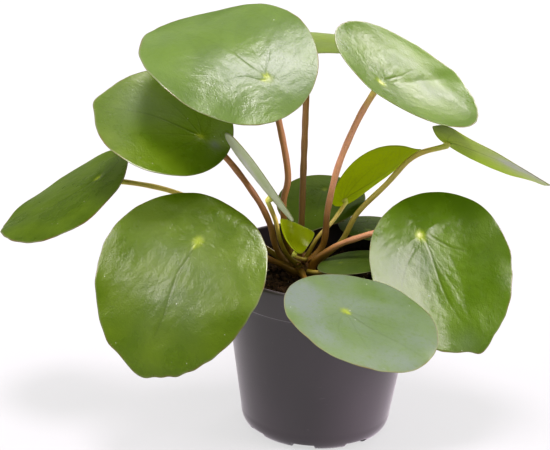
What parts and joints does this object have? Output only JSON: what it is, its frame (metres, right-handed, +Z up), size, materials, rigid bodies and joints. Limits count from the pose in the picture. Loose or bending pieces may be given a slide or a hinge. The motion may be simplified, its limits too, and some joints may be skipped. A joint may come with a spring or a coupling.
{
  "type": "potted chinese money plant",
  "caption": "House plant with round, flat leaves on slender stalks that fan out from a short stem, growing in a tapered plastic nursery pot filled with soil.",
  "frame": {"origin": "centre of the pot's flat base, on the surface that it stands on", "axes": "+Z up along the pot's axis, -Y towards the picture's viewer, +X to the picture's right"},
  "size_m": [0.3168, 0.2651, 0.2447],
  "materials": {
    "pot_plastic": "grey-violet moulded plastic with a soft satin sheen",
    "potting_soil": "dark, crumbly, fibrous potting soil",
    "stem_bark": "rough brown bark with leaf scars and small papery scales",
    "stalk_brown": "smooth, slightly glossy plant stalk, brown",
    "stalk_red_brown": "smooth, slightly glossy plant stalk, reddish brown",
    "stalk_olive": "smooth, slightly glossy plant stalk, olive to pale yellow",
    "leaf_green": "fleshy waxy leaf with a broad soft sheen",
    "leaf_dark_green": "fleshy waxy leaf in a darker green",
    "leaf_young_green": "thin young leaf, bright yellow-green"
  },
  "bodies": {
    "root": {"pot": "pot_plastic", "soil": "potting_soil", "stem": "stem_bark", "crown_stalk": "stalk_brown", "crown_blade": "leaf_green", "upper_left_stalk": "stalk_brown", "upper_left_blade": "leaf_green", "far_left_stalk": "stalk_olive", "far_left_blade": "leaf_dark_green", "front_left_stalk": "stalk_brown", "front_left_blade": "leaf_green", "front_stalk": "stalk_brown", "front_blade": "leaf_green", "front_right_stalk": "stalk_red_brown", "front_right_blade": "leaf_green", "upper_right_stalk": "stalk_red_brown", "upper_right_blade": "leaf_green", "far_right_stalk": "stalk_olive", "far_right_blade": "leaf_green", "back_top_stalk": "stalk_brown", "back_top_blade": "leaf_green", "young_right_stalk": "stalk_olive", "young_right_blade": "leaf_young_green", "young_left_stalk": "stalk_olive", "young_left_blade": "leaf_green", "back_stalk": "stalk_olive", "back_blade": "leaf_dark_green", "back_right_stalk": "stalk_olive", "back_right_blade": "leaf_dark_green", "low_right_stalk": "stalk_olive", "low_right_blade": "leaf_dark_green", "heart_stalk": "stalk_olive", "heart_blade": "leaf_young_green"}
  },
  "joints": []
}
